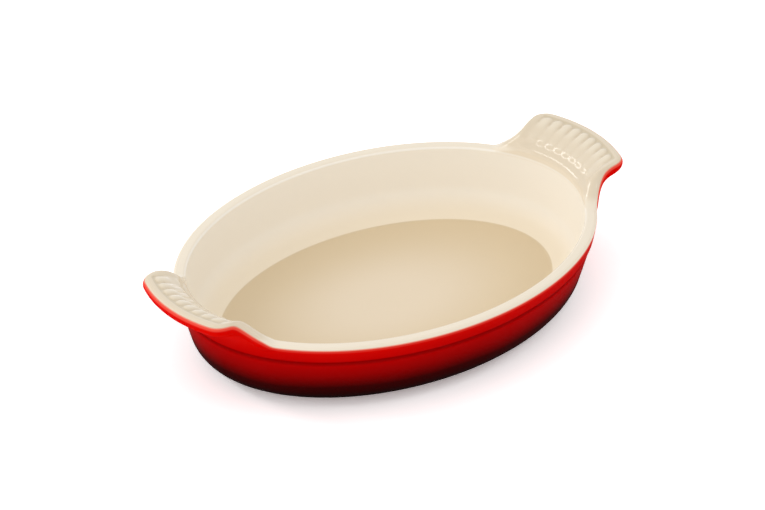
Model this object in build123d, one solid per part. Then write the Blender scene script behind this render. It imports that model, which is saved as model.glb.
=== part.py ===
from build123d import *
from functools import partial
import math
import os

# An oval stoneware gratin dish with two fluted lug handles, cream glaze inside and red glaze outside.
# Lengths are in millimetres. X runs along the dish from handle to handle, Z is up, and the foot
# stands on Z = 0, under the middle of the oval. The dish is one fired pot: a clay basin, two clay
# lugs set on its rim, and the coats of glaze that cover them. Nothing on it moves.

# The oval of the rim and its flat lip
rim_length = 240.0
rim_width = 177.5
rim_height = 43.0
lip_width = 6.5
lip_outer_round = 1.6
lip_inner_round = 2.0

# The inside of the basin
floor_thickness = 6.2
cavity_wall_inset = 6.2
cavity_corner_round = 13.5

# The outside of the basin, from the rim down: a plain band, a soft groove and a bellied wall
band_height = 8.8
band_inset = 1.6
band_round = 1.5
groove_height = 2.0
groove_inset = 1.9
groove_round = 1.2
shoulder_height = 1.6
shoulder_inset = 0.5
shoulder_round = 2.6
wall_inset = 6.8
wall_foot_height = 6.2
wall_foot_round = 15.0

# The foot ring, wiped bare of glaze so that the pot doesn't stick to the kiln shelf, and ground flat
foot_inset = 16.5
foot_width = 4.6
foot_recess = 1.8
foot_round = 1.0
foot_edge_round = 0.4
bare_height = 1.0
foot_grinding = 0.2

# The glaze, and how far below the top of the lip the cream stops and the red starts
glaze = 0.5
colour_line_drop = 1.4

# The lugs: reach and rise past the rim, the rolled edge, the plan outline and the seat on the rim
handle_reach = 19.7
handle_rise = 15.5
handle_edge = 7.0
handle_edge_round = 3.5
neck_back_from_tip = 18.9
neck_half_width = 31.8
neck_flare_angle = 9.0
handle_corner_round = 8.5
handle_arc_radius = 75.0
root_angle = 29.0
root_stand = 0.9
root_edge = 5.0
lip_lift = 2.2
seat_inset = 5.4
band_contact_depth = 5.0

# The reeds across the top of each lug
reed_count = 9
reed_pitch = 6.1
reed_radius = 4.6
reed_stand = 1.1
reed_inner_reach = 0.6
reed_outer_reach = 10.6

# How far the swept wall runs in past the foot ring, how it meets the floor plates, and the cutters' overrun
ring_margin = 7.1
plate_lap = 1.0
overrun = 3.0

# The curves of a lug: how fast its edge rises from the root, and its rounded top and underside
rise_power = 3.2
top_power = 2.0
under_power = 1.25
edge_power = 0.4
root_rise_share = 0.02
curve_shares = (0.0, 0.2, 0.45, 0.7, 1.0)
station_shares = (0.0, 0.2, 0.38, 0.48, 0.56, 0.64, 0.74, 0.86, 1.0)

half_length = rim_length / 2
half_width = rim_width / 2
handle_tip = half_length + handle_reach
floor_top = foot_recess + floor_thickness
cavity_corner_inset = lip_width + cavity_wall_inset
groove_top = rim_height - band_height
groove_bottom = groove_top - groove_height
groove_bottom_inset = band_inset + groove_inset
shoulder = groove_bottom - shoulder_height
shoulder_top_inset = groove_bottom_inset - shoulder_inset
wall_bottom_inset = shoulder_top_inset + wall_inset
foot_outer_inset = wall_bottom_inset + foot_inset
foot_inner_inset = foot_outer_inset + foot_width
ring_reach = foot_inner_inset + ring_margin
colour_line = rim_height - colour_line_drop
rim_path = Ellipse(half_length, half_width).edge()


def rounded_section(corners):
    """A closed face from (inset, height, radius) corners, with an arc at each corner that has a radius."""
    face = make_face(Polyline(*[(inset, height) for inset, height, radius in corners], close=True))
    for inset, height, radius in corners:
        if radius > 0:
            face = fillet(face.vertices().sort_by_distance((inset, height))[0], radius)
    return face


def block(low_inset, high_inset, low_height, high_height):
    """A rectangle in the plane of the wall section."""
    middle = ((low_inset + high_inset) / 2, (low_height + high_height) / 2)
    return Pos(*middle) * Rectangle(high_inset - low_inset, high_height - low_height)


def nearest(faces, inset, height):
    """The face whose middle lies nearest to a point of the wall section."""
    return faces.sort_by_distance((inset, height))[0]


def basin_sections():
    """The section of the glazed wall, as clay, cream glaze, red glaze and the glaze under the floor."""
    outline = rounded_section([
        (0, rim_height, lip_outer_round),
        (lip_width, rim_height, lip_inner_round),
        (cavity_corner_inset, floor_top, cavity_corner_round),
        (ring_reach + overrun, floor_top, 0),
        (ring_reach + overrun, foot_recess, 0),
        (foot_inner_inset, foot_recess, foot_round),
        (foot_inner_inset, -foot_grinding, foot_edge_round),
        (foot_outer_inset, -foot_grinding, foot_edge_round),
        (wall_bottom_inset, wall_foot_height, wall_foot_round),
        (shoulder_top_inset, shoulder, shoulder_round),
        (groove_bottom_inset, groove_bottom, groove_round),
        (band_inset, groove_top, band_round),
    ])
    kept = block(-overrun, ring_reach, -overrun, rim_height + overrun)
    foot = outline & block(foot_outer_inset - overrun, foot_inner_inset + overrun, -overrun, bare_height)
    clay = (offset(outline, -glaze) + foot) & kept
    coat = (outline - clay) & kept
    below_line = block(-overrun, ring_reach, -overrun, colour_line)
    lower = (coat & below_line).faces()
    red = nearest(lower, 0, groove_top)
    cavity = nearest(lower, lip_width, colour_line)
    base = nearest(lower, ring_reach, foot_recess)
    cream = (coat - below_line) + cavity
    return clay, cream, red, base


def swept(section):
    """Carries a wall section round the oval of the rim."""
    plane = Plane(origin=(half_length, 0, 0), x_dir=(-1, 0, 0), z_dir=(0, 1, 0))
    return sweep(plane * section, path=rim_path)


def plate(bottom, top):
    """The oval middle of a floor layer, which laps onto the swept ring round it."""
    inset = ring_reach - plate_lap
    return extrude(Pos(0, 0, bottom) * Ellipse(half_length - inset, half_width - inset), amount=top - bottom)


def ground_off():
    """What grinding takes off under the foot ring, down from the plane that the dish stands on."""
    return Pos(0, 0, -overrun) * Box(rim_length, rim_width, 2 * overrun)


def rim_point(angle, inset):
    """A point in plan on the oval that lies inset from the rim's outer line."""
    turn = math.radians(angle)
    return Vector((half_length - inset) * math.cos(turn), (half_width - inset) * math.sin(turn))


def run_to_oval(start, along, inset):
    """How far a level line from a point in plan runs to the oval at an inset."""
    length, width = half_length - inset, half_width - inset
    square = (along.X / length) ** 2 + (along.Y / width) ** 2
    cross = start.X * along.X / length ** 2 + start.Y * along.Y / width ** 2
    short = (start.X / length) ** 2 + (start.Y / width) ** 2 - 1
    return (math.sqrt(cross ** 2 - square * short) - cross) / square


def handle_outline():
    """Half of a lug's plan outline: outer arc, rounded corner, flared flank and hollow neck into the rim."""
    centre = Vector(handle_tip - handle_arc_radius, 0)
    neck = Vector(handle_tip - neck_back_from_tip, neck_half_width)
    flare = Vector(1, 0).rotate(Axis.Z, neck_flare_angle)
    across = (neck - centre).dot(flare)
    run = math.sqrt(across ** 2 - (neck - centre).length ** 2 + handle_arc_radius ** 2) - across
    corner = neck + flare * run
    half_turn = (corner - centre).get_angle(Vector(1, 0)) / 2
    bulge = centre + Vector(handle_arc_radius, 0).rotate(Axis.Z, half_turn)
    edge = Wire([ThreePointArc((handle_tip, 0), bulge, corner), Line(corner, neck)])
    edge = edge.fillet_2d(handle_corner_round, [edge.vertices().sort_by_distance(corner)[0]])
    root = rim_point(root_angle, -root_stand)
    along_rim = Vector(-root.Y / half_width ** 2, root.X / half_length ** 2) * half_length * half_width
    hollow = Spline(neck, root, tangents=(flare * -1, along_rim))
    return Wire(edge.edges() + [hollow])


def outward_share(point):
    """How far past the rim a point in plan lies, as a share of the lug's reach."""
    ratio = math.hypot(point.X / half_length, point.Y / half_width)
    return min((ratio - 1) / (handle_tip / half_length - 1), 1)


def edge_rise(share):
    """How high a lug's edge stands over the rim: it rises fast from the root and levels off."""
    return handle_rise * (1 - (1 - share) ** rise_power)


def edge_radius(share):
    """How far a lug's rounded edge reaches in from its widest line: less near the root."""
    return lip_outer_round + (handle_edge_round - lip_outer_round) * share ** edge_power


def edge_depth(rise):
    """How far a lug's edge reaches down from its top: less near the root, where it meets the band."""
    return min(handle_edge, rise + root_edge - glaze)


def edge_middle(rise):
    """The height of a lug's widest line over the rim, halfway down its rolled edge."""
    return rise - edge_depth(rise) / 2


def curve_points(start, end, low, high, power):
    """Points of a curve that rises from low to high between two places and levels off at its end."""
    return [
        Vector(start + (end - start) * share, low + (high - low) * (1 - (1 - share) ** power))
        for share in curve_shares
    ]


def band_point(run, depth, skin):
    """A point of a station on the band of the rim, at a depth below the lip and under a skin of glaze."""
    return Vector(run(skin + band_inset * depth / band_height), -depth)


def under_curves(run, length, share, skin):
    """The lower half of a lug's edge and its underside, from the widest point in to the band."""
    rise = edge_rise(share)
    edge_start = length - edge_radius(share)
    bottom = rise - edge_depth(rise) + skin
    start = band_point(run, band_contact_depth + glaze - skin, skin)
    under = curve_points(start.X, edge_start, start.Y, bottom, under_power)
    widest = Vector(length - skin, edge_middle(rise))
    edge = Spline(widest, under[-1], tangents=((0, -1), (-1, 0)))
    return edge, Spline(*reversed(under))


def lug_section(run, length, share):
    """A lug's section: up from the lip, over the rounded top and edge, and back under to the band."""
    rise = edge_rise(share)
    lift = max(lip_lift * rise / handle_rise, glaze)
    edge_start = length - edge_radius(share)
    top = curve_points(0, edge_start, lift, rise, top_power)
    widest = Vector(length, edge_middle(rise))
    edge, under = under_curves(run, length, share, glaze)
    lip_corner = Vector(run(glaze), -glaze)
    seat = Vector(0, -glaze)
    return Wire([
        Spline(*top),
        Spline(top[-1], widest, tangents=((1, 0), (0, -1))),
        Line(widest, edge @ 0),
        edge,
        under,
        Line(under @ 1, lip_corner),
        Line(lip_corner, seat),
        Line(seat, top[0]),
    ])


def red_skin_section(run, length, share):
    """The section of the red glaze under a lug, from the widest point of its edge to the band."""
    inner_edge, inner_under = under_curves(run, length, share, glaze)
    outer_edge, outer_under = under_curves(run, length, share, 0)
    band_foot = band_point(run, band_contact_depth + glaze, glaze)
    return Wire([
        Line(inner_edge @ 0, outer_edge @ 0),
        outer_edge,
        outer_under,
        Line(outer_under @ 1, band_foot),
        Line(band_foot, inner_under @ 1),
        inner_under,
        inner_edge,
    ])


def lug_loft(section):
    """Lofts a section along the stations of a lug, from one root to the other."""
    outline = handle_outline()
    faces = []
    for signed_share in [-share for share in reversed(station_shares[1:])] + list(station_shares):
        outer = outline.position_at(abs(signed_share))
        outer = Vector(outer.X, math.copysign(outer.Y, signed_share))
        inner = rim_point(signed_share * root_angle, seat_inset)
        along = (outer - inner).normalized()
        plane = Plane(origin=(inner.X, inner.Y, rim_height), x_dir=along, z_dir=(along.Y, -along.X, 0))
        root_share = outward_share(outline.position_at(1))
        share = (outward_share(outer) - root_share) / (1 - root_share)
        share = share + root_rise_share * (1 - share)
        run = partial(run_to_oval, inner, along)
        faces.append(Face(plane * section(run, (outer - inner).length, share)))
    return loft(faces)


def lug_seat():
    """The room that a lug takes out of the coats of glaze, down to the clay of the lip and band."""
    root = handle_outline().position_at(1)
    last = rim_point(root_angle, seat_inset)
    far_last = last + (root - last).normalized() * (handle_reach + seat_inset)
    far_first = Vector(far_last.X, -far_last.Y)
    inner = EllipticalCenterArc(
        (0, 0), half_length - seat_inset, half_width - seat_inset, -root_angle, arc_size=2 * root_angle)
    sides = Polyline(inner @ 1, far_last, far_first, inner @ 0)
    depth = band_contact_depth + glaze
    footprint = make_face(inner.edges() + sides.edges())
    return extrude(Pos(0, 0, rim_height - depth) * footprint, amount=depth + handle_rise)


def top_height(x, y):
    """The height of a lug's top above the rim, over its middle part."""
    seat = seat_inset / handle_reach
    flat_end = 1 - handle_edge_round / handle_reach
    share = (outward_share(Vector(x, y)) + seat) / (flat_end + seat)
    return lip_lift + (handle_rise - lip_lift) * (1 - max(1 - share, 0) ** top_power)


def reed(index):
    """One rounded reed, laid along the slope of the lug's top."""
    place = (index - (reed_count - 1) / 2) * reed_pitch
    spread = math.tan(math.radians(neck_flare_angle * place / neck_half_width))
    outer_x = half_length + reed_outer_reach
    inner_x = half_length + reed_inner_reach
    points = []
    for x in (inner_x, (inner_x + outer_x) / 2, outer_x):
        y = place - spread * (outer_x - x)
        back = half_length * (1 - math.sqrt(1 - (y / half_width) ** 2))
        height = rim_height + top_height(x - back, y) - reed_radius + reed_stand
        points.append(Vector(x - back, y, height))
    spine = ThreePointArc(*points)
    body = sweep(Plane(origin=spine @ 0, z_dir=spine % 0) * Circle(reed_radius), path=spine)
    return body + [Pos(end) * Sphere(reed_radius) for end in (points[0], points[2])]


def half_turned(shape):
    """The same shape at the other end of the dish."""
    return Rot(0, 0, 180) * shape


def build():
    """Every node of the dish by name."""
    clay, cream, red, base = basin_sections()
    handle = lug_loft(lug_section) + [reed(index) for index in range(reed_count)]
    red_skin = lug_loft(red_skin_section)
    seats = [lug_seat(), half_turned(lug_seat())]
    exterior = swept(red) - seats
    return {
        "basin": swept(clay) + plate(foot_recess + glaze, floor_top - glaze) - ground_off(),
        "right_handle": handle,
        "left_handle": half_turned(handle),
        "interior_glaze": swept(cream) + plate(floor_top - glaze, floor_top) - seats,
        "exterior_glaze": Compound(children=[exterior, red_skin, half_turned(red_skin)]),
        "base_glaze": swept(base) + plate(foot_recess, foot_recess + glaze),
    }


if __name__ == "__main__":
    os.makedirs("parts", exist_ok=True)
    for name, shape in build().items():
        export_step(shape, "parts/" + name + ".step")
        print(name, len(shape.solids()), "solids", round(shape.volume), "cubic mm")
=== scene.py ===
import math

import bmesh
import bpy
import numpy as np
from mathutils import Matrix, Vector


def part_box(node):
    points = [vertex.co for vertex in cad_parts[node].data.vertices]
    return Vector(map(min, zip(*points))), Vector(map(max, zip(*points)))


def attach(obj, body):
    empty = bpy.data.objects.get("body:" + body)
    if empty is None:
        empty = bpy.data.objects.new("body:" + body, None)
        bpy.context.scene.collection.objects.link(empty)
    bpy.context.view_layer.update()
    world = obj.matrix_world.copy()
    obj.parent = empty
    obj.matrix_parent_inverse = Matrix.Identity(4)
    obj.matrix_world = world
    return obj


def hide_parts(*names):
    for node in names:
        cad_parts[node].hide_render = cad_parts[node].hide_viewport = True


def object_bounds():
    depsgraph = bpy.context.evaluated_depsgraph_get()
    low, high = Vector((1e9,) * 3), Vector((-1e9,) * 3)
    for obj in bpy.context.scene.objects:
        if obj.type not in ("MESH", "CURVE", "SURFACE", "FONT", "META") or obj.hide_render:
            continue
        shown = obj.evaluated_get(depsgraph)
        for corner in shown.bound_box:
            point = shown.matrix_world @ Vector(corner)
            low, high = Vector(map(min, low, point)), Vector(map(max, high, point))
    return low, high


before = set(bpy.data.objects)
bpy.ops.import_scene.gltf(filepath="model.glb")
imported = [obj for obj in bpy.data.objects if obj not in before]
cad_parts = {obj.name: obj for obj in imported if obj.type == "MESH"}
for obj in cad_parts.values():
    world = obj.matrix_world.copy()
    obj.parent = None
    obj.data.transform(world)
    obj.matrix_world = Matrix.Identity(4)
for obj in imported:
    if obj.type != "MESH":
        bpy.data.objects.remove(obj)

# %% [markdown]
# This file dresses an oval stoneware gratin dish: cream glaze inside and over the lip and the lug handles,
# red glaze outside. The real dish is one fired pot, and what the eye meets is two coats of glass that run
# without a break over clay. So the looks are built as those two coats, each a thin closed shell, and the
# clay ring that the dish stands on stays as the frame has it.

cad_box = [list(corner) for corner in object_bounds()]
print("frame box, metres:", cad_box)

# %% [markdown]
# Every size is a real one, in metres. The heights and the reach come from the frame, so that the coats keep
# to the dish that was measured. The others repeat how a potter would describe the shape: the oval of the rim,
# the width of its flat lip, and the band and groove that run under it.

# %% The sizes of the dish
mm = 0.001
rim_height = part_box("interior_glaze")[1].z
handle_tip = cad_box[1][0]
handle_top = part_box("right_handle")[1].z
bare_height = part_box("base_glaze")[0].z
rim_half_length = 120 * mm
rim_half_width = 88.75 * mm
glaze = 0.5 * mm
lip_width = 6.5 * mm
lip_outer_round = 1.6 * mm
floor_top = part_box("interior_glaze")[0].z + glaze
wall_lean = 6.2 * mm
floor_round = 17 * mm
band_height = 8.8 * mm
band_lean = 1.6 * mm
colour_line_drop = 1.4 * mm
join_drop = 5.5 * mm
print("rim height", rim_height, "tip", handle_tip, "top", handle_top)

# %% [markdown]
# The camera comes first, because every choice after it is judged through it. A long lens far away gives the
# flat look of a catalogue picture. Its place was solved from the rim's oval, the lugs and the foot, so it is
# written as a point, two directions and a lens.

# %% The camera
sensor_width = 36.0
lens_length = 267.9
camera_place = Vector((-1.5343, -1.9562, 1.5788))
camera_right = Vector((0.7860, -0.6182, -0.0037))
camera_up = Vector((0.3286, 0.4127, 0.8495))


def make_camera():
    """A camera that looks down on the dish from the front left."""
    data = bpy.data.cameras.new("camera")
    data.sensor_width = sensor_width
    data.lens = lens_length
    camera = bpy.data.objects.new("camera", data)
    right = camera_right.normalized()
    up = (camera_up - right * camera_up.dot(right)).normalized()
    turned = Matrix((right, up, right.cross(up))).transposed().to_4x4()
    camera.matrix_world = Matrix.Translation(camera_place) @ turned
    bpy.context.scene.collection.objects.link(camera)
    bpy.context.scene.camera = camera


make_camera()

# %% [markdown]
# Node trees read badly as lists of links. A small class wraps one value of a tree, so that ordinary Python
# sums write its Math nodes, and one method adds every other kind of node with its settings and its sockets.


# %% Sums that write nodes
class Value:
    """One value in a node tree. Sums of values add the Math nodes that work them out."""

    def __init__(self, tree, socket):
        self.tree = tree
        self.socket = socket

    def node(self, kind, settings=None, sockets=None, output=0):
        """Adds a node of any kind: its settings first, then the values or links of its sockets."""
        made = self.tree.nodes.new(kind)
        for name, setting in (settings or {}).items():
            if name == "stops":
                fill_ramp(made.color_ramp, setting)
            else:
                setattr(made, name, setting)
        for name, value in (sockets or {}).items():
            if isinstance(value, Value):
                self.tree.links.new(value.socket, made.inputs[name])
            else:
                made.inputs[name].default_value = value
        return Value(self.tree, made.outputs[output] if made.outputs else None)

    def math(self, operation, *others):
        """A Math node on this value and the others."""
        return self.node("ShaderNodeMath", {"operation": operation}, dict(enumerate((self,) + others)))

    def __add__(self, other):
        return self.math("ADD", other)

    def __sub__(self, other):
        return self.math("SUBTRACT", other)

    def __mul__(self, other):
        return self.math("MULTIPLY", other)

    def __truediv__(self, other):
        return self.math("DIVIDE", other)

    def __rsub__(self, other):
        return self.math("MULTIPLY", -1.0) + other

    __radd__ = __add__
    __rmul__ = __mul__

    def clipped(self):
        """This value, kept between 0 and 1."""
        return self.math("MAXIMUM", 0.0).math("MINIMUM", 1.0)

    def step(self, start, end):
        """A soft step: 0 before start, 1 after end, smooth between."""
        share = ((self - start) / (end - start)).clipped()
        return share * share * (3.0 - 2.0 * share)


def fill_ramp(ramp, stops):
    """Sets a colour ramp's stops from a list of (place, colour)."""
    while len(ramp.elements) < len(stops):
        ramp.elements.new(0.5)
    for element, (place, colour) in zip(ramp.elements, stops):
        element.position = place
        element.color = colour


def linear(red, green, blue):
    """A colour as a shader wants it, from the 0 to 255 that a picture shows."""
    def one(level):
        share = level / 255
        return share / 12.92 if share <= 0.04045 else ((share + 0.055) / 1.055) ** 2.4
    return (one(red), one(green), one(blue), 1.0)


def blended(share, first, second):
    """A colour between two colours, by a value from 0 to 1."""
    return share.node("ShaderNodeMix", {"data_type": "RGBA"}, {"Factor": share, 6: first, 7: second}, 2)


# %% [markdown]
# Glaze is glass: smooth, with a clear skin over colour. What keeps it from looking like plastic is small. Its
# tone drifts a little over the pot, its surface is never quite flat, and where two glazes meet they run
# together in a fine warm line. Light and shade are painted into the colour as well: the inside of the basin is
# painted lighter, with painted shade on the floor, in the cove, in the groove, on the lug tops and in the
# hollows between the reeds, and painted highlights on the reed crests, the lip's inner round and the red edge
# round. Two attributes on the meshes say where the line is and how the reeds are shaded, so that the colour
# can follow the shape. The other changes follow height, so each has a pair of heights between which one tone
# gives way to the next.

# %% The colours of the glazes
cream_light, cream_deep = linear(241, 229, 209), linear(236, 223, 201)
# Painted light: the wall colour is lighter than the glaze, to brighten the inside of the basin.
# Painted shade: the lug colour darkens the tops of the lugs.
lit_wall_cream, shaded_lug_cream = linear(248, 241, 228), linear(222, 206, 180)
# Painted highlight: the thin colour is a pale line along the lip's inner round.
# Painted shade: the cove colour darkens the cove just above the floor.
shaded_cove_cream, lip_highlight_cream = linear(238, 219, 186), linear(255, 251, 243)
# Painted shade: the floor colours darken the flat floor, more towards the walls.
floor_shade_middle, floor_shade_edge = linear(229, 211, 184), linear(216, 194, 157)
# Painted highlight on the reed crests, and painted shade in the hollows between them and in the line round
# their panel.
lit_crest_cream, shaded_hollow_cream = linear(243, 233, 213), linear(206, 190, 160)
# The red and pink are painted highlights on the red edge round, stronger on the lugs; the pink is also the
# warm line where the glazes meet.
line_cream, lit_edge_red, line_and_highlight_pink = linear(236, 176, 150), linear(243, 84, 68), linear(252, 156, 134)
# Painted shade: the groove under the band is painted a darker red.
shaded_groove_red = linear(112, 0, 0)
red_fade = [
    (0.0, linear(4, 0, 0)),
    (0.14, linear(9, 0, 0)),
    (0.34, linear(58, 0, 0)),
    (0.55, linear(150, 0, 0)),
    (0.78, linear(188, 0, 0)),
    (1.0, linear(220, 4, 0)),
]
dark_deep, dark_light = linear(26, 4, 3), linear(44, 8, 6)
clay_light, clay_deep, clay_fleck = linear(214, 192, 158), linear(196, 172, 138), linear(120, 90, 62)

# %% Where the tones of the glazes change
wall_tone = (rim_height - 2.4 * mm, rim_height - 0.6 * mm)
lug_tone = (rim_height + 0.8 * mm, rim_height + 4 * mm)
cove_tone = (floor_top + 1 * mm, floor_top + 12 * mm)
floor_shade_heights = (floor_top + 0.12 * mm, floor_top + 0.42 * mm)
floor_shade_half_length = 90 * mm
floor_shade_half_width = 60 * mm
# Painted highlight: the height and reach of the pale line on the lip's inner round.
lip_highlight_height = rim_height - 0.9 * mm
lip_highlight_reach = (0.2 * mm, 0.85 * mm)
groove_middle = rim_height - band_height - 1.8 * mm
groove_reach = (0.3 * mm, 2.4 * mm)
edge_tone = (rim_height - 1 * mm, rim_height + 5 * mm)
fade_wander = 5 * mm
bump_height = 0.4 * mm


# %% A glossy glaze
def start_material(name):
    """A material with an empty tree but its shader and output, and a first value to grow it from."""
    material = bpy.data.materials.new(name)
    material.use_nodes = True
    tree = material.node_tree
    shader = tree.nodes["Principled BSDF"]
    return material, shader, Value(tree, None)


def drift(start, place, scale, detail=2.0):
    """Soft noise from 0 to 1 over the piece, finer with a larger scale."""
    return start.node("ShaderNodeTexNoise", None, {"Vector": place, "Scale": scale, "Detail": detail})


def finish_glaze(shader, colour, place, roughness, waviness):
    """Plugs a colour into a glaze's shader, with the sheen and slight unevenness of fired glass."""
    tree = shader.id_data
    ripple = drift(place, place, 55.0, 1.0) * 0.7 + drift(place, place, 190.0, 1.0) * 0.3
    bump = place.node("ShaderNodeBump", None, {
        "Strength": waviness, "Distance": bump_height, "Height": ripple})
    tree.links.new(colour.socket, shader.inputs["Base Color"])
    tree.links.new(bump.socket, shader.inputs["Normal"])
    uneven = roughness * (0.85 + 0.3 * drift(place, place, 24.0))
    tree.links.new(uneven.socket, shader.inputs["Roughness"])


def make_cream_glaze():
    """The cream glaze of the inside, the lip and the tops of the lugs, with painted light and shade."""
    material, shader, start = start_material("cream_glaze")
    place = start.node("ShaderNodeTexCoord", output=3)
    along, aside, height = (
        start.node("ShaderNodeSeparateXYZ", None, {0: place}, axis) for axis in range(3))
    line = start.node("ShaderNodeAttribute", {"attribute_name": "line"}, output=2)
    crest = start.node("ShaderNodeAttribute", {"attribute_name": "crest"}, output=2)
    cream = blended(drift(start, place, 14.0), cream_light, cream_deep)
    inside = 1.0 - height.step(*wall_tone)
    # Painted light: the inside of the basin is painted lighter.
    cream = blended(inside * 0.9, cream, lit_wall_cream)
    # Painted shade: the cove just above the floor is painted darker and warmer.
    low = 1.0 - height.step(*cove_tone)
    cream = blended(low * 0.6, cream, shaded_cove_cream)
    # Painted shade: the flat floor is painted darker, and darker still towards its edge by the walls.
    floor_mask = 1.0 - height.step(*floor_shade_heights)
    outward = along * along / floor_shade_half_length ** 2 + aside * aside / floor_shade_half_width ** 2
    outward = outward.math("SQRT")
    floor_shade = blended(outward.step(0.2, 0.95), floor_shade_middle, floor_shade_edge)
    cream = blended(floor_mask * 0.85, cream, floor_shade)
    # Painted highlight: a pale line along the lip's inner round.
    lip_highlight = 1.0 - (height - lip_highlight_height).math("ABSOLUTE").step(*lip_highlight_reach)
    cream = blended(lip_highlight * (1.0 - line.step(0.0, 0.2)) * 0.6, cream, lip_highlight_cream)
    # Painted shade: the tops of the lugs are painted darker.
    raised = height.step(*lug_tone)
    cream = blended(raised * 0.85, cream, shaded_lug_cream)
    # Painted highlight on the reed crests, painted shade in their hollows and in the line round the panel.
    cream = blended(crest.clipped() * 0.4, cream, lit_crest_cream)
    cream = blended((crest * -1.0).clipped() * 0.75, cream, shaded_hollow_cream)
    cream = blended(line.step(0.8, 1.0) * 0.7, cream, line_cream)
    finish_glaze(shader, cream, place, 0.15 + inside * 0.3 + line.step(0.05, 0.5) * 0.35, 0.05)
    shader.inputs["Specular IOR Level"].default_value = 0.35
    polish = (0.5 - inside * 0.45) * (1.0 - 0.85 * line.step(0.05, 0.5))
    shader.id_data.links.new(polish.socket, shader.inputs["Coat Weight"])
    shader.inputs["Coat Roughness"].default_value = 0.14
    return material


def make_red_glaze():
    """The red glaze of the outside, which deepens to near black at the foot, with painted shade in the groove
    and a painted highlight on the edge round.
    """
    material, shader, start = start_material("red_glaze")
    place = start.node("ShaderNodeTexCoord", output=3)
    height = start.node("ShaderNodeSeparateXYZ", None, {0: place}, 2)
    line = start.node("ShaderNodeAttribute", {"attribute_name": "line"}, output=2)
    uneven = height + (drift(start, place, 18.0) - 0.5) * fade_wander
    share = (uneven / rim_height).clipped()
    fade = start.node("ShaderNodeValToRGB", {"stops": red_fade}, {"Fac": share})
    # Painted shade: the groove under the band is painted darker.
    groove_shade = 1.0 - (height - groove_middle).math("ABSOLUTE").step(*groove_reach)
    red = blended(groove_shade * 0.6, fade, shaded_groove_red)
    on_lug = height.step(*edge_tone)
    # Painted highlight: a lighter red on the edge round below the colour line, stronger on the lugs' edges.
    red = blended(line.step(0.2, 0.6) * (0.35 + 0.5 * on_lug), red, lit_edge_red)
    # The pink just below the cream is the warm line where the glazes meet, and a painted highlight on the edge
    # round.
    red = blended(line.step(0.72, 1.0) * 0.85, red, line_and_highlight_pink)
    finish_glaze(shader, red, place, 0.12, 0.05)
    shader.inputs["Specular IOR Level"].default_value = 0.0
    shader.inputs["Coat Weight"].default_value = 0.03
    shader.inputs["Coat Roughness"].default_value = 0.05
    return material


def make_dark_glaze():
    """The dark glaze of the hidden underside."""
    material, shader, start = start_material("dark_glaze")
    place = start.node("ShaderNodeTexCoord", output=3)
    dark = blended(drift(start, place, 40.0), dark_deep, dark_light)
    finish_glaze(shader, dark, place, 0.2, 0.08)
    return material


def make_stoneware():
    """The bare clay of the foot ring: matt, sandy and flecked."""
    material, shader, start = start_material("stoneware")
    place = start.node("ShaderNodeTexCoord", output=3)
    fleck = drift(start, place, 900.0, 4.0).step(0.62, 0.72)
    clay = blended(drift(start, place, 60.0), clay_light, clay_deep)
    clay = blended(fleck * 0.6, clay, clay_fleck)
    finish_glaze(shader, clay, place, 0.75, 0.35)
    return material


cream_glaze = make_cream_glaze()
red_glaze = make_red_glaze()
dark_glaze = make_dark_glaze()
stoneware = make_stoneware()
print("materials:", [m.name for m in (cream_glaze, red_glaze, dark_glaze, stoneware)])

# %% [markdown]
# A wall thrown or pressed on an oval follows a rule: one section, carried round the rim and always square to
# it. Geometry Nodes do that with two curves. The tree below draws the oval from its length and width, turns
# the section's mesh into a curve and sweeps it. The columns crowd together towards the two ends of the oval,
# where the lugs need a finer mesh.

# %% How the columns are spread round the oval
columns = 600
crowding = 0.6


def oval_turns():
    """The angles of the columns round the oval, in radians, closer together at its two ends."""
    even = np.arange(columns) * math.tau / columns
    return even - crowding / 2 * np.sin(2 * even)


def new_tree(name, inputs):
    """An empty Geometry Nodes tree with a mesh in, a mesh out and the named inputs."""
    tree = bpy.data.node_groups.new(name, "GeometryNodeTree")
    tree.interface.new_socket("Geometry", in_out="INPUT", socket_type="NodeSocketGeometry")
    tree.interface.new_socket("Geometry", in_out="OUTPUT", socket_type="NodeSocketGeometry")
    for label, kind in inputs:
        tree.interface.new_socket(label, in_out="INPUT", socket_type="NodeSocket" + kind)
    source = tree.nodes.new("NodeGroupInput")
    sink = tree.nodes.new("NodeGroupOutput")
    return tree, {socket.name: Value(tree, socket) for socket in source.outputs if socket.name}, sink


def end_tree(tree, sink, mesh, material):
    """Closes a tree: real geometry, smooth, with its material."""
    real = mesh.node("GeometryNodeRealizeInstances", None, {0: mesh})
    smooth = mesh.node("GeometryNodeSetShadeSmooth", None, {0: real})
    dressed = mesh.node("GeometryNodeSetMaterial", None, {0: smooth, "Material": material})
    tree.links.new(dressed.socket, sink.inputs[0])


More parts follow.
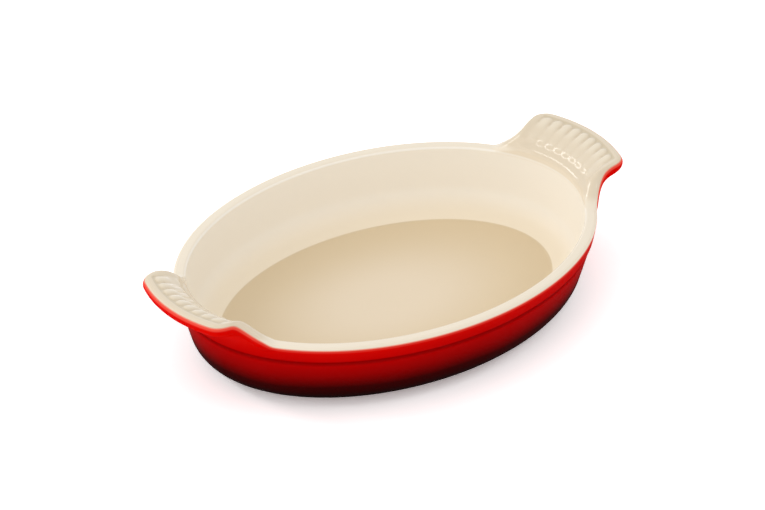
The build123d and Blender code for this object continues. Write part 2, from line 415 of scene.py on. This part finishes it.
def wall_tree():
    """The tree that carries a section round the oval."""
    tree, given, sink = new_tree("carried_wall", [
        ("Half Length", "Float"), ("Half Width", "Float"), ("Columns", "Int"),
        ("Crowding", "Float"), ("Material", "Material")])
    start = given["Columns"]
    ring = start.node("GeometryNodeCurvePrimitiveCircle", None, {"Resolution": given["Columns"]})
    even = start.node("GeometryNodeInputIndex") * math.tau / given["Columns"]
    turn = even - given["Crowding"] * 0.5 * (even * 2.0).math("SINE")
    oval_point = start.node("ShaderNodeCombineXYZ", None, {
        "X": given["Half Length"] * turn.math("COSINE"), "Y": given["Half Width"] * turn.math("SINE")})
    oval = start.node("GeometryNodeSetPosition", None, {"Geometry": ring, "Position": oval_point})
    flat = start.node("GeometryNodeSetCurveNormal", {"mode": "Z_UP"}, {0: oval})
    section = start.node("GeometryNodeMeshToCurve", None, {0: given["Geometry"]})
    wall = start.node("GeometryNodeCurveToMesh", None, {"Curve": flat, "Profile Curve": section})
    end_tree(tree, sink, wall, given["Material"])
    return tree


carried_wall = wall_tree()


# %% Running a tree on a mesh
def mesh_object(name, points, faces, edges=()):
    """A new object from points and faces, at the origin."""
    mesh = bpy.data.meshes.new(name)
    mesh.from_pydata([tuple(p) for p in points], list(edges), [tuple(f) for f in faces])
    made = bpy.data.objects.new(name, mesh)
    bpy.context.scene.collection.objects.link(made)
    return made


def run_tree(target, tree, settings):
    """Runs a tree on an object and keeps the result as the object's plain mesh."""
    modifier = target.modifiers.new("tree", "NODES")
    modifier.node_group = tree
    for item in tree.interface.items_tree:
        if item.in_out == "INPUT" and item.name in settings:
            modifier[item.identifier] = settings[item.name]
    graph = bpy.context.evaluated_depsgraph_get()
    result = bpy.data.meshes.new_from_object(target.evaluated_get(graph))
    target.modifiers.remove(modifier)
    old = target.data
    target.data = result
    bpy.data.meshes.remove(old)
    print(target.name, len(target.data.vertices), "points after", tree.name)
    return target


# %% [markdown]
# The section of the wall is drawn as a person would draw it: a few corners, each with the radius of its
# round. A short function turns that into points with true arcs. The inside coat starts at the floor, and the
# outside coat ends just above the bare foot ring.


# %% The section of the wall
def rounded(corners, arc_steps=12):
    """Points of an open outline from (inset, height, radius) corners, with an arc at each inner corner."""
    points = [np.array(corners[0][:2])]
    for before, corner, after in zip(corners, corners[1:], corners[2:]):
        here = np.array(corner[:2])
        back = np.array(before[:2]) - here
        ahead = np.array(after[:2]) - here
        back = back / np.linalg.norm(back)
        ahead = ahead / np.linalg.norm(ahead)
        half_angle = math.acos(np.clip(back @ ahead, -1, 1)) / 2
        run = corner[2] / math.tan(half_angle)
        middle = here + (back + ahead) / np.linalg.norm(back + ahead) * corner[2] / math.sin(half_angle)
        first = here + back * run - middle
        sweep = math.pi - 2 * half_angle
        spin = math.copysign(1, first[0] * (here - middle)[1] - first[1] * (here - middle)[0])
        for step in range(arc_steps + 1):
            turn = spin * sweep * step / arc_steps
            cosine, sine = math.cos(turn), math.sin(turn)
            points.append(middle + np.array([
                first[0] * cosine - first[1] * sine, first[0] * sine + first[1] * cosine]))
    points.append(np.array(corners[-1][:2]))
    return np.array(points)


def split_long(points, longest):
    """The same outline with its straight runs cut into steps no longer than longest."""
    result = [points[0]]
    for start, end in zip(points, points[1:]):
        pieces = max(1, math.ceil(np.linalg.norm(end - start) / longest))
        result += [start + (end - start) * step / pieces for step in range(1, pieces + 1)]
    return np.array(result)


def wall_inset(depth):
    """How far the inner face of the wall lies from the rim's outer line, at a depth below the lip."""
    return lip_width + wall_lean * depth / (rim_height - floor_top)


floor_inset = 38 * mm
groove_inset = 1.9 * mm
groove_height = 2.0 * mm
shoulder_inset = 0.5 * mm
shoulder_height = 1.6 * mm
belly_inset = 6.8 * mm
belly_foot = 6.2 * mm
foot_inset = 16.5 * mm
foot_sink = 0.2 * mm
band_round = 1.5 * mm
groove_round = 1.2 * mm
shoulder_round = 2.6 * mm
belly_round = 15 * mm
cove_sink = 0.2 * mm
cove_edge_gap = 0.3 * mm
cove_edge_band = 1.2 * mm
inside_step = 4 * mm
outside_step = 2 * mm
outside_arc_steps = 9

cove = rounded([
    (floor_inset, floor_top - cove_sink, 0),
    (wall_inset(rim_height - floor_top + cove_sink), floor_top - cove_sink, floor_round),
    (wall_inset(join_drop), rim_height - join_drop, 0),
])
cove = cove[cove[:, 1] > floor_top]
cove_inset = cove[0][0] + cove_edge_gap
floor_run = [(inset, floor_top) for inset in (floor_inset, cove_inset + cove_edge_band, cove_inset)]
inside_section = split_long(np.concatenate([floor_run, cove]), inside_step)

groove_bottom = rim_height - band_height - groove_height
shoulder = groove_bottom - shoulder_height
shoulder_reach = band_lean + groove_inset - shoulder_inset
outside_corners = [
    (band_lean * join_drop / band_height, rim_height - join_drop, 0),
    (band_lean, rim_height - band_height, band_round),
    (band_lean + groove_inset, groove_bottom, groove_round),
    (shoulder_reach, shoulder, shoulder_round),
    (shoulder_reach + belly_inset, belly_foot, belly_round),
    (shoulder_reach + belly_inset + foot_inset, -foot_sink, 0),
]
outside_section = split_long(rounded(outside_corners, outside_arc_steps), outside_step)
outside_section = outside_section[outside_section[:, 1] > bare_height]
print("section points:", len(inside_section), "inside,", len(outside_section), "outside")


# %% Carrying the section round the oval
def carried(name, section, material):
    """A wall made by carrying a section, given as (inset, height) points, round the oval of the rim."""
    points = [(-inset, -height, 0) for inset, height in section]
    wall = mesh_object(name, points, [], [(i, i + 1) for i in range(len(points) - 1)])
    return run_tree(wall, carried_wall, {
        "Half Length": rim_half_length, "Half Width": rim_half_width, "Columns": columns,
        "Crowding": crowding, "Material": material})


inside_wall = carried("inside_wall", inside_section, cream_glaze)
outside_wall = carried("outside_wall", outside_section, red_glaze)


# %% [markdown]
# The lugs are where a rule ends and drawing begins. Seen from above, a lug has a shallow arc across its end,
# rounded corners, flanks that flare a little, and a hollow neck that runs out into the rim. The outline is
# drawn once, from the middle of the arc to the root, and mirrored.


# %% The plan outline of a lug
neck_place = np.array([handle_tip - 18.9 * mm, 31.8 * mm])
neck_flare = math.radians(9)
corner_round = 8.5 * mm
end_arc_radius = 75 * mm
root_turn = math.radians(32)
root_nudge = 0.001
hollow_pull = 0.79
arc_step_count, flank_step_count, hollow_step_count = 40, 12, 60


def oval(turn, inset=0.0):
    """A point in plan on the rim's oval, moved in square to it, for an angle or many."""
    ahead = np.stack([rim_half_width * np.cos(turn), rim_half_length * np.sin(turn)], -1)
    ahead = ahead / np.linalg.norm(ahead, axis=-1, keepdims=True)
    point = np.stack([rim_half_length * np.cos(turn), rim_half_width * np.sin(turn)], -1)
    return point - ahead * np.asarray(inset)[..., None]


def arc_points(middle, radius, start, end, steps):
    """Points along an arc in plan, between two angles."""
    turns = np.linspace(start, end, steps)
    return middle + radius * np.stack([np.cos(turns), np.sin(turns)], -1)


def lug_outline():
    """Half of a lug's plan outline, from the middle of its end to its root on the rim."""
    flare = np.array([math.cos(neck_flare), math.sin(neck_flare)])
    aside = np.array([-flare[1], flare[0]])
    end_middle = np.array([handle_tip - end_arc_radius, 0.0])
    # The corner's round touches the flank on its inside and the end arc on its inside
    flank_base = neck_place - aside * corner_round
    offset = flank_base - end_middle
    along = offset @ flare
    reach = end_arc_radius - corner_round
    run = math.sqrt(along ** 2 - offset @ offset + reach ** 2) - along
    corner_middle = flank_base + flare * run
    meeting = math.atan2(corner_middle[1], corner_middle[0] - end_middle[0])
    end = arc_points(end_middle, end_arc_radius, 0, meeting, arc_step_count)
    corner = arc_points(corner_middle, corner_round, meeting, math.pi / 2 + neck_flare, arc_step_count)
    flank = corner[-1] + (neck_place - corner[-1]) * np.linspace(0, 1, flank_step_count)[:, None]
    root = oval(np.array(root_turn))
    leave = oval(np.array(root_turn + root_nudge)) - root
    leave = leave / np.linalg.norm(leave)
    pull = np.linalg.norm(root - neck_place) * hollow_pull
    share = np.linspace(0, 1, hollow_step_count)[:, None]
    # A cubic that leaves the neck along the flank and meets the rim along the oval
    square, cube = share ** 2, share ** 3
    hollow = (2 * cube - 3 * square + 1) * neck_place + (3 * square - 2 * cube) * root
    hollow += (cube - square) * leave * pull - (cube - 2 * square + share) * flare * pull
    return np.concatenate([end, corner[1:], flank[1:], hollow[1:]])


def along_line(points, shares):
    """Places along a line at shares of its length."""
    steps = np.linalg.norm(np.diff(points, axis=0), axis=1)
    place = np.concatenate([[0], np.cumsum(steps)]) / steps.sum()
    return np.stack([np.interp(shares, place, points[:, axis]) for axis in range(2)], -1)


outline = lug_outline()
print("lug outline, mm:", (outline[0] / mm).round(1), (outline[-1] / mm).round(1))

# %% [markdown]
# One rule then gives the section at every column of the rim. Away from the lugs it is the flat lip with its
# two rounds and the band. At a lug the lip lifts a little, the top climbs in a hollow and then a swelling
# curve, the edge rolls over, and the underside sweeps back into the band. The rule mixes the two by how far
# the outline stands out past the oval, so the lip runs into the lug without a break, as the wet glaze did.

# %% Shares and sizes of a lug's section
band_angle = math.atan2(band_lean, band_height)
lip_roll = lip_outer_round * math.tan((math.pi / 2 + band_angle) / 2)
top_room = 0.25 * mm
lug_rise = handle_top - rim_height - top_room
edge_depth = 7.0 * mm
edge_depth_over_rise = 4.5 * mm
edge_reach = 3.5 * mm
edge_growth_power = 0.7
under_pull = 0.36
band_pull = 0.42
band_leave = 0.6 * mm
lug_line_drop = 1.1 * mm
lift_share = 0.22
climb_power = 1.8
channel_share, channel_width_share, channel_dip_share = 0.16, 0.09, 0.04
rise_power = 3.2
round_run = 1.68 * mm
round_weight = 0.77
mix_reach = 1.2 * mm
wall_rows, inner_rows, top_rows, roll_rows = 3, 7, 32, 9
edge_rows, under_rows = 9, 18


def climb(share):
    """The height of a lug's top as a share of its rise, from the inner lip out to the edge's roll."""
    swell = lift_share + (1 - lift_share) * (1 - (1 - share) ** climb_power)
    return swell - channel_dip_share * np.exp(-((share - channel_share) / channel_width_share) ** 2)


def soft(share):
    """A smooth step from 0 to 1."""
    share = np.clip(share, 0, 1)
    return share * share * share * (share * (6 * share - 15) + 10)


def bent(start, corner, end, weight, shares):
    """A conic from start to end, pulled towards a corner."""
    a, b, c = (1 - shares) ** 2, 2 * weight * shares * (1 - shares), shares ** 2
    return (a * start + b * corner + c * end) / (a + b + c)


def band_inset_at(drop):
    """How far the band lies in from the rim's outer line, at a depth below the lip."""
    return band_lean * drop / band_height


# %% The rows of one column, from the inner wall over the top and back under to the band
def roll_inset(drop):
    """How far the outer face of the lip lies in from the rim's outer line, at a depth on its round."""
    return lip_roll - math.sqrt(lip_outer_round ** 2 - (lip_outer_round - drop) ** 2)


def plain_lip(turn):
    """The section of the flat lip at one angle: points of the cream coat, then of the red one."""
    def at(inset, height):
        plan = oval(np.array(turn), inset)
        return np.array([plan[0], plan[1], rim_height + height])
    wall_end = np.array([wall_inset(round_run), -round_run])
    lip_corner = np.array([lip_width, 0.0])
    flat_start = lip_width - round_run
    flat_end = np.array([flat_start, 0.0])
    wall_drops = np.linspace(join_drop, round_run, wall_rows, endpoint=False)
    rows = [at(wall_inset(drop), -drop) for drop in wall_drops]
    for share in np.linspace(0, 1, inner_rows):
        rows.append(at(*bent(wall_end, lip_corner, flat_end, round_weight, share)))
    for share in np.linspace(0, 1, top_rows + 2)[1:-1]:
        rows.append(at(flat_start + (lip_roll - flat_start) * share, 0.0))
    for drop in colour_line_drop * np.linspace(0, 1, roll_rows) ** 2:
        rows.append(at(roll_inset(drop), -drop))
    roll_end = lip_outer_round * (1 + math.sin(band_angle))
    for drop in np.linspace(colour_line_drop, join_drop, edge_rows + under_rows + 1)[1:]:
        rows.append(at(roll_inset(drop) if drop < roll_end else band_inset_at(drop), -drop))
    return np.array(rows)


def lug_section(turn):
    """The section of a lug at one angle, with the same rows as the plain lip."""
    share = abs(turn) / root_turn
    outer = along_line(outline, np.array([share]))[0] * (1, math.copysign(1, turn))
    ratio = math.hypot(outer[0] / rim_half_length, outer[1] / rim_half_width)
    out = min(max((ratio - 1) / (handle_tip / rim_half_length - 1), 0), 1)
    rise = lug_rise * (1 - (1 - out) ** rise_power)
    lift = lift_share * rise
    inner = oval(np.array(turn), wall_inset(-lift))
    along = (outer - inner) / np.linalg.norm(outer - inner)
    length = np.linalg.norm(outer - inner)
    reach = lip_outer_round + (edge_reach - lip_outer_round) * out ** edge_growth_power
    depth = min(edge_depth, rise + edge_depth_over_rise)

    def at(run, height):
        plan = inner + along * run
        return np.array([plan[0], plan[1], rim_height + height])

    def on_wall(drop):
        plan = oval(np.array(turn), wall_inset(drop))
        return np.array([plan[0], plan[1], rim_height - drop])

    flat = length - reach
    top = rise * climb(np.array(round_run / flat))
    wall_end = on_wall(round_run - lift)
    wall_drops = np.linspace(join_drop, round_run - lift, wall_rows, endpoint=False)
    rows = [on_wall(drop) for drop in wall_drops]
    for s in np.linspace(0, 1, inner_rows):
        rows.append(bent(wall_end, at(0, lift), at(round_run, top), round_weight, s))
    for s in np.linspace(0, 1, top_rows + 2)[1:-1]:
        run = round_run + (flat - round_run) * s
        rows.append(at(run, rise * climb(np.array(run / flat))))
    # The edge is half an ellipse, cut in two where the colours meet
    line_angle = math.acos(1 - 2 * lug_line_drop / depth)
    below_line = np.linspace(line_angle, math.pi, edge_rows + 1)[1:]
    for angle in [*np.linspace(0, line_angle, roll_rows), *below_line]:
        rows.append(at(flat + reach * math.sin(angle), rise - depth / 2 * (1 - math.cos(angle))))
    # The underside is one Bezier curve that runs into the band along its lean
    low = at(flat, rise - depth)
    band = np.append(oval(np.array(turn), band_inset_at(join_drop)), rim_height - join_drop)
    first = low + np.append(-along, 0) * np.linalg.norm(low[:2] - band[:2]) * under_pull
    above = band_pull * (low[2] - band[2]) + band_leave
    second = np.append(oval(np.array(turn), band_inset_at(join_drop - above)), band[2] + above)
    for s in np.linspace(0, 1, under_rows + 1)[1:]:
        r = 1 - s
        rows.append(r ** 3 * low + 3 * r ** 2 * s * first + 3 * r * s * s * second + s ** 3 * band)
    return np.array(rows), out


def column(turn):
    """The rows at one angle of the half of the dish round one lug."""
    plain = plain_lip(turn)
    if abs(turn) >= root_turn:
        return plain
    lug, out = lug_section(turn)
    stands = out * (handle_tip - rim_half_length)
    return plain + (lug - plain) * soft(stands / mix_reach)


turns = oval_turns()
half = columns // 4
half_turns = np.concatenate([turns[-half:] - math.tau, turns[:half]])
half_rows = np.array([column(turn) for turn in half_turns])
print("rim columns", half_rows.shape, "top", half_rows[..., 2].max(), "reach", half_rows[..., 0].max())

# %% [markdown]
# The reeds are ribs that follow the slope of a lug's top, so they are a job for Geometry Nodes. Each point of
# the top carries two measures: how far it lies across the fan of reeds, and how far out past the rim. From
# these the tree finds the nearest reed, works out the round of its back and the ball of its outer end, and
# lifts the surface along its normal. A reed is full at its outer end, low in the middle, and swells a little
# again at its foot by the rim. The panel that the reeds fill is sunk a little below the border, which leaves
# the fine line that runs round them.

# %% The sizes of the reeds
reed_count = 9
reed_pitch = 6.1 * mm
reed_radius = 4.6 * mm
reed_stand = 1.25 * mm
reed_outer_end = 10.9 * mm
reed_start = (-2.6 * mm, 0.4 * mm)
foot_end = (-1.0 * mm, 2.5 * mm)
full_from = (3.5 * mm, 8.5 * mm)
low_share, foot_share = 0.24, 0.3
panel_depth = 0.35 * mm
panel_start = (3.5 * mm, 9.0 * mm)
panel_side = (-0.3 * mm, 1.2 * mm)
hollow_start = (6.0 * mm, 9.5 * mm)
line_gap = 3.2 * mm
line_width = 0.6 * mm
seam_reach = (0.2 * mm, 0.9 * mm)
crest_gain = 1.2
soft_edge = 0.16 * mm
fan = math.tan(neck_flare) / neck_place[1]


def reed_measures(points):
    """How far each point lies across the fan of reeds, and out past the oval of the rim."""
    x, y = points[..., 0], points[..., 1]
    back = rim_half_length * (1 - np.sqrt(np.maximum(1 - (y / rim_half_width) ** 2, 0)))
    out = x + back - rim_half_length
    return y / (1 + fan * (out - reed_outer_end)), out


def reeds_tree():
    """The tree that raises a fan of reeds from a surface."""
    tree, given, sink = new_tree("raised_reeds", [
        ("Reeds", "Int"), ("Pitch", "Float"), ("Radius", "Float"), ("Stand", "Float"),
        ("Outer End", "Float"), ("Panel Depth", "Float"), ("Soft Edge", "Float"), ("Material", "Material")])
    start = given["Pitch"]
    across = start.node("GeometryNodeInputNamedAttribute", None, {"Name": "across"})
    out = start.node("GeometryNodeInputNamedAttribute", None, {"Name": "out"})
    last = (given["Reeds"] - 1.0) * 0.5
    nearest = (across / given["Pitch"] + last).math("ROUND").math("MAXIMUM", 0.0)
    nearest = nearest.math("MINIMUM", given["Reeds"] - 1.0) - last
    aside = across - nearest * given["Pitch"]
    past = (out - given["Outer End"]).math("MAXIMUM", 0.0)
    square = given["Radius"] * given["Radius"] - aside * aside - past * past
    back = square.math("MAXIMUM", 0.0).math("SQRT") - given["Radius"] + given["Stand"]
    edge = given["Soft Edge"]
    round_back = ((back * back + edge * edge).math("SQRT") + back - edge) * 0.5
    foot = 1.0 - out.step(*foot_end)
    swell = low_share + (1 - low_share) * out.step(*full_from) + foot_share * foot
    swell = swell * out.step(*reed_start)
    half_panel = given["Reeds"] * given["Pitch"] * 0.5
    inside = 1.0 - across.math("ABSOLUTE").step(half_panel + panel_side[0], half_panel + panel_side[1])
    line = given["Outer End"] + line_gap
    panel = out.step(*panel_start) * (1.0 - out.step(line, line + line_width)) * inside
    # The tree also stores a shading measure for the paint: painted highlight on the reed crests, painted shade
    # in the hollows between them and in the fine line round the panel.
    share = (round_back / given["Stand"] * crest_gain).clipped()
    seam = (1.0 - (out - line - line_width / 2).math("ABSOLUTE").step(*seam_reach)) * inside
    crest = share * swell - (1.0 - share) * panel * out.step(*hollow_start) - seam
    rise = round_back * swell - given["Panel Depth"] * panel
    normal = start.node("GeometryNodeInputNormal")
    move = start.node("ShaderNodeVectorMath", {"operation": "SCALE"}, {0: normal, "Scale": rise})
    noted = start.node("GeometryNodeStoreNamedAttribute", {"data_type": "FLOAT", "domain": "POINT"}, {
        "Geometry": given["Geometry"], "Name": "crest", "Value": crest})
    moved = start.node("GeometryNodeSetPosition", None, {"Geometry": noted, "Offset": move})
    end_tree(tree, sink, moved, given["Material"])
    return tree


raised_reeds = reeds_tree()

# %% [markdown]
# The rows of every column now become a mesh. Half of the dish is worked out and turned round to make the
# other half, because both lugs are the same. The rows above the line where the colours meet belong to the
# cream coat, and the rest to the red one.


# %% From rows to meshes
def both_halves(rows):
    """The rows of one half of the rim, followed by the same rows turned to the other end."""
    return np.concatenate([rows, rows * (-1, -1, 1)])


def ring_faces(column_count, row_count):
    """Faces of a closed ring of columns, facing out when rows run over the top and down outside."""
    faces = []
    for c in range(column_count):
        here, after = c * row_count, (c + 1) % column_count * row_count
        for r in range(row_count - 1):
            faces.append((here + r, here + r + 1, after + r + 1, after + r))
    return faces


def set_number(target, name, values):
    """Writes one number for each point of an object's mesh."""
    attribute = target.data.attributes.new(name, "FLOAT", "POINT")
    attribute.data.foreach_set("value", np.ascontiguousarray(values, np.float32).ravel())


def distance_from_row(rows, row):
    """How far each point lies from a row, measured along its own column."""
    steps = np.linalg.norm(np.diff(rows, axis=1), axis=2)
    place = np.concatenate([np.zeros((len(rows), 1)), np.cumsum(steps, axis=1)], axis=1)
    return np.abs(place - place[:, row:row + 1])


cream_row_count = wall_rows + inner_rows + top_rows + roll_rows
line_reach = 2.8 * mm
rim_rows = both_halves(half_rows)
away = distance_from_row(rim_rows, cream_row_count - 1)
near_line = np.clip(1 - away / line_reach, 0, 1)
across, out = (np.concatenate([measure, measure]) for measure in reed_measures(half_rows))


def rim_part(name, first, last):
    """A band of the rim's rows as an object, with its line attribute."""
    rows = rim_rows[:, first:last]
    made = mesh_object(name, rows.reshape(-1, 3), ring_faces(*rows.shape[:2]))
    set_number(made, "line", near_line[:, first:last])
    return made


cream_rim = rim_part("cream_rim", 0, cream_row_count)
set_number(cream_rim, "across", across[:, :cream_row_count])
set_number(cream_rim, "out", out[:, :cream_row_count])
run_tree(cream_rim, raised_reeds, {
    "Reeds": reed_count, "Pitch": reed_pitch, "Radius": reed_radius, "Stand": reed_stand,
    "Outer End": reed_outer_end, "Panel Depth": panel_depth, "Soft Edge": soft_edge, "Material": cream_glaze})
red_rim = rim_part("red_rim", cream_row_count - 1, rim_rows.shape[1])


# %% The middle of the floor
def floor_middle():
    """The flat middle of the floor, as rings that close on one point."""
    edge = oval(oval_turns(), floor_inset)
    shares = [1.0, 0.75, 0.5, 0.25]
    rings = [np.column_stack([edge * share, np.full(columns, floor_top)]) for share in shares]
    points = np.concatenate([[[0.0, 0.0, floor_top]]] + rings[::-1])
    faces = [(0, 1 + c, 1 + (c + 1) % columns) for c in range(columns)]
    for ring in range(len(shares) - 1):
        inner, outer = 1 + ring * columns, 1 + (ring + 1) * columns
        for c in range(columns):
            after = (c + 1) % columns
            faces.append((inner + c, outer + c, outer + after, inner + after))
    return mesh_object("floor_middle", points, faces)


# %% [markdown]
# The parts of a coat are joined and their shared rows merged, so the glaze runs on without a seam. A Solidify
# modifier then gives the skin its half millimetre, inwards, which makes each coat a closed shell.

# %% Joining the parts of a coat
merge_distance = 0.03 * mm


def make_coat(name, parts, material):
    """One closed shell of glaze from its surface parts."""
    bpy.ops.object.select_all(action="DESELECT")
    for part in parts:
        part.select_set(True)
    bpy.context.view_layer.objects.active = parts[0]
    bpy.ops.object.join()
    coat = parts[0]
    coat.name = name
    work = bmesh.new()
    work.from_mesh(coat.data)
    bmesh.ops.remove_doubles(work, verts=work.verts, dist=merge_distance)
    open_edges = sum(edge.is_boundary for edge in work.edges)
    for face in work.faces:
        face.smooth = True
        face.material_index = 0
    work.to_mesh(coat.data)
    work.free()
    coat.data.materials.clear()
    coat.data.materials.append(material)
    shell = coat.modifiers.new("thickness", "SOLIDIFY")
    shell.thickness = glaze
    shell.offset = -1
    graph = bpy.context.evaluated_depsgraph_get()
    solid = bpy.data.meshes.new_from_object(coat.evaluated_get(graph))
    coat.modifiers.remove(shell)
    coat.data = solid
    coat.data.name = name
    triangles = sum(len(face.vertices) - 2 for face in solid.polygons)
    print(name, "open edges before thickness", open_edges, "triangles", triangles)
    return coat


cream_coat = make_coat("cream_glaze_coat", [cream_rim, inside_wall, floor_middle()], cream_glaze)
red_coat = make_coat("red_glaze_coat", [red_rim, outside_wall], red_glaze)

# %% [markdown]
# Under the coats each lug is a solid bar of clay. It can't be seen, but the lug would be hollow without it. It
# follows the same columns, a little more than a coat's thickness further in, sits on the clay of the lip, and
# ends before the neck, where the coats run close together.

# %% The clay of the lugs
clay_share = 0.55
clay_clearance = 0.2 * mm
seat_outer_inset = 1.2 * mm
seat_inner_inset = lip_width - 1.5 * mm


def section_normals(rows):
    """The outward direction at each point of a band of columns."""
    down = np.gradient(rows, axis=1)
    round_rim = np.gradient(rows, axis=0)
    normal = np.cross(down, round_rim)
    return normal / np.maximum(np.linalg.norm(normal, axis=2, keepdims=True), 1e-12)


def lug_clay(name, mirror):
    """The clay bar of one lug: mirror is 1 for the right one and -1 for the left one."""
    chosen = np.abs(half_turns) < clay_share * root_turn
    rows = (half_rows - section_normals(half_rows) * (glaze + clay_clearance))[chosen]
    loop = rows[::2, wall_rows + inner_rows::2]
    turn = half_turns[chosen][::2]
    seat = rim_height - glaze
    for inset in (seat_outer_inset, seat_inner_inset):
        edge = np.column_stack([oval(turn, inset), np.full(len(turn), seat)])
        loop = np.concatenate([loop, edge[:, None]], axis=1)
    loop = loop * (mirror, mirror, 1)
    count, size = loop.shape[:2]
    faces = [tuple(range(size))[::-1], tuple((count - 1) * size + r for r in range(size))]
    for c in range(count - 1):
        for r in range(size):
            after = (r + 1) % size
            faces.append((c * size + r, c * size + after, (c + 1) * size + after, (c + 1) * size + r))
    bar = mesh_object(name, loop.reshape(-1, 3), faces)
    work = bmesh.new()
    work.from_mesh(bar.data)
    bmesh.ops.recalc_face_normals(work, faces=work.faces)
    work.to_mesh(bar.data)
    work.free()
    bar.data.materials.append(stoneware)
    return bar


right_lug = lug_clay("right_lug_clay", 1)
left_lug = lug_clay("left_lug_clay", -1)

# %% [markdown]
# The foot ring and the hidden glaze under the floor are right as the frame has them, so they only get their
# finishes. Every other piece rides on the dish's one body and stands for the nodes that it covers.

# %% Finishes and places of the pieces
for node, material in (("basin", stoneware), ("base_glaze", dark_glaze)):
    node_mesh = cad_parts[node].data
    node_mesh.materials.clear()
    node_mesh.materials.append(material)

for piece, nodes, slot in (
        (cream_coat, ["interior_glaze"], "cream_glaze"),
        (red_coat, ["exterior_glaze"], "red_glaze"),
        (right_lug, ["right_handle"], "cream_glaze"),
        (left_lug, ["left_handle"], "cream_glaze")):
    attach(piece, "root")
    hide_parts(*nodes)

# %% [markdown]
# The dish is shown as in a catalogue: on white, under big soft lamps. The floor lights the dish as plain white
# paint would. To the camera and the gloss it is brighter, so that only the dense part of the shadow is left on
# it, and a rose glow is painted into it that shows only in the shadow and stands in for the red light thrown
# under the dish. Beyond it the world is plain white to the camera and a soft grey fill to the dish. One wide
# lamp on the left is the window, a long strip behind draws the row of lights on the far lug, and a card in
# front softly lights the near rim.

# %% Floor, world and lamps
floor_half_width = 4.0
floor_drop = 0.05 * mm
paint_white = (0.93, 0.93, 0.93, 1)
seen_white = (1.24, 1.24, 1.24, 1)
# Painted light: a rose glow for the red light thrown under the dish.
rose_bounce_glow = (1, 0.84, 0.84, 1)
glow_strength = 0.28
lamp_target = Vector((0, 0, 0.02))
world_fill = 0.82


def seen_rays(start):
    """1 for what the camera sees straight, in a gloss or through glass, and 0 for other light."""
    ray = start.node("ShaderNodeLightPath").socket.node
    camera, gloss, through = (
        Value(start.tree, ray.outputs[f"Is {kind} Ray"]) for kind in ("Camera", "Glossy", "Transmission"))
    return (camera + gloss + through).clipped()


def make_floor():
    """A wide white floor just under the foot ring."""
    signs = ((-1, -1), (1, -1), (1, 1), (-1, 1))
    corners = [(x * floor_half_width, y * floor_half_width, -floor_drop) for x, y in signs]
    floor = mesh_object("floor", corners, [(0, 1, 2, 3)])
    material = bpy.data.materials.new("floor_paint")
    material.use_nodes = True
    tree = material.node_tree
    tree.nodes.clear()
    start = Value(tree, None)
    shown = seen_rays(start)
    tone = blended(shown, paint_white, seen_white)
    paint = start.node("ShaderNodeBsdfDiffuse", None, {"Color": tone})
    # Painted light: the rose glow stands in for red light thrown under the dish.
    glow = start.node("ShaderNodeEmission", None, {
        "Color": rose_bounce_glow, "Strength": shown * glow_strength})
    both = start.node("ShaderNodeAddShader", None, {0: paint, 1: glow})
    end = tree.nodes.new("ShaderNodeOutputMaterial")
    tree.links.new(both.socket, end.inputs["Surface"])
    floor.data.materials.append(material)


def make_world(fill):
    """A world that is white to the camera and the gloss, and a grey fill to everything else."""
    world = bpy.data.worlds.new("studio")
    world.use_nodes = True
    tree = world.node_tree
    shown = seen_rays(Value(tree, None))
    tree.links.new((shown * (1 - fill) + fill).socket, tree.nodes["Background"].inputs["Strength"])
    tree.nodes["Background"].inputs["Color"].default_value = (1, 1, 1, 1)
    bpy.context.scene.world = world


def make_lamp(name, place, along, width, length, power):
    """A soft rectangular lamp that faces the dish, with its length in a given direction."""
    data = bpy.data.lights.new(name, "AREA")
    data.shape = "RECTANGLE"
    data.size = width
    data.size_y = length
    data.energy = power
    lamp = bpy.data.objects.new(name, data)
    away = (Vector(place) - lamp_target).normalized()
    across = Vector(along).cross(away).normalized()
    turned = Matrix((across, away.cross(across), away)).transposed().to_4x4()
    lamp.matrix_world = Matrix.Translation(place) @ turned
    bpy.context.scene.collection.objects.link(lamp)


make_floor()
make_world(world_fill)
make_lamp("window", place=(-1.4, -0.15, 0.72), along=(0, 1, 0), width=1.1, length=1.1, power=3.0)
make_lamp("strip", place=(-0.78, 1.0, 0.80), along=(-0.42, -0.75, 0.52), width=0.2, length=1.4, power=4.4)
make_lamp("card", place=(0.66, -0.72, 1.0), along=(1, 0.4, 0), width=0.3, length=1.1, power=1.6)

bpy.context.scene.view_settings.view_transform = "Standard"
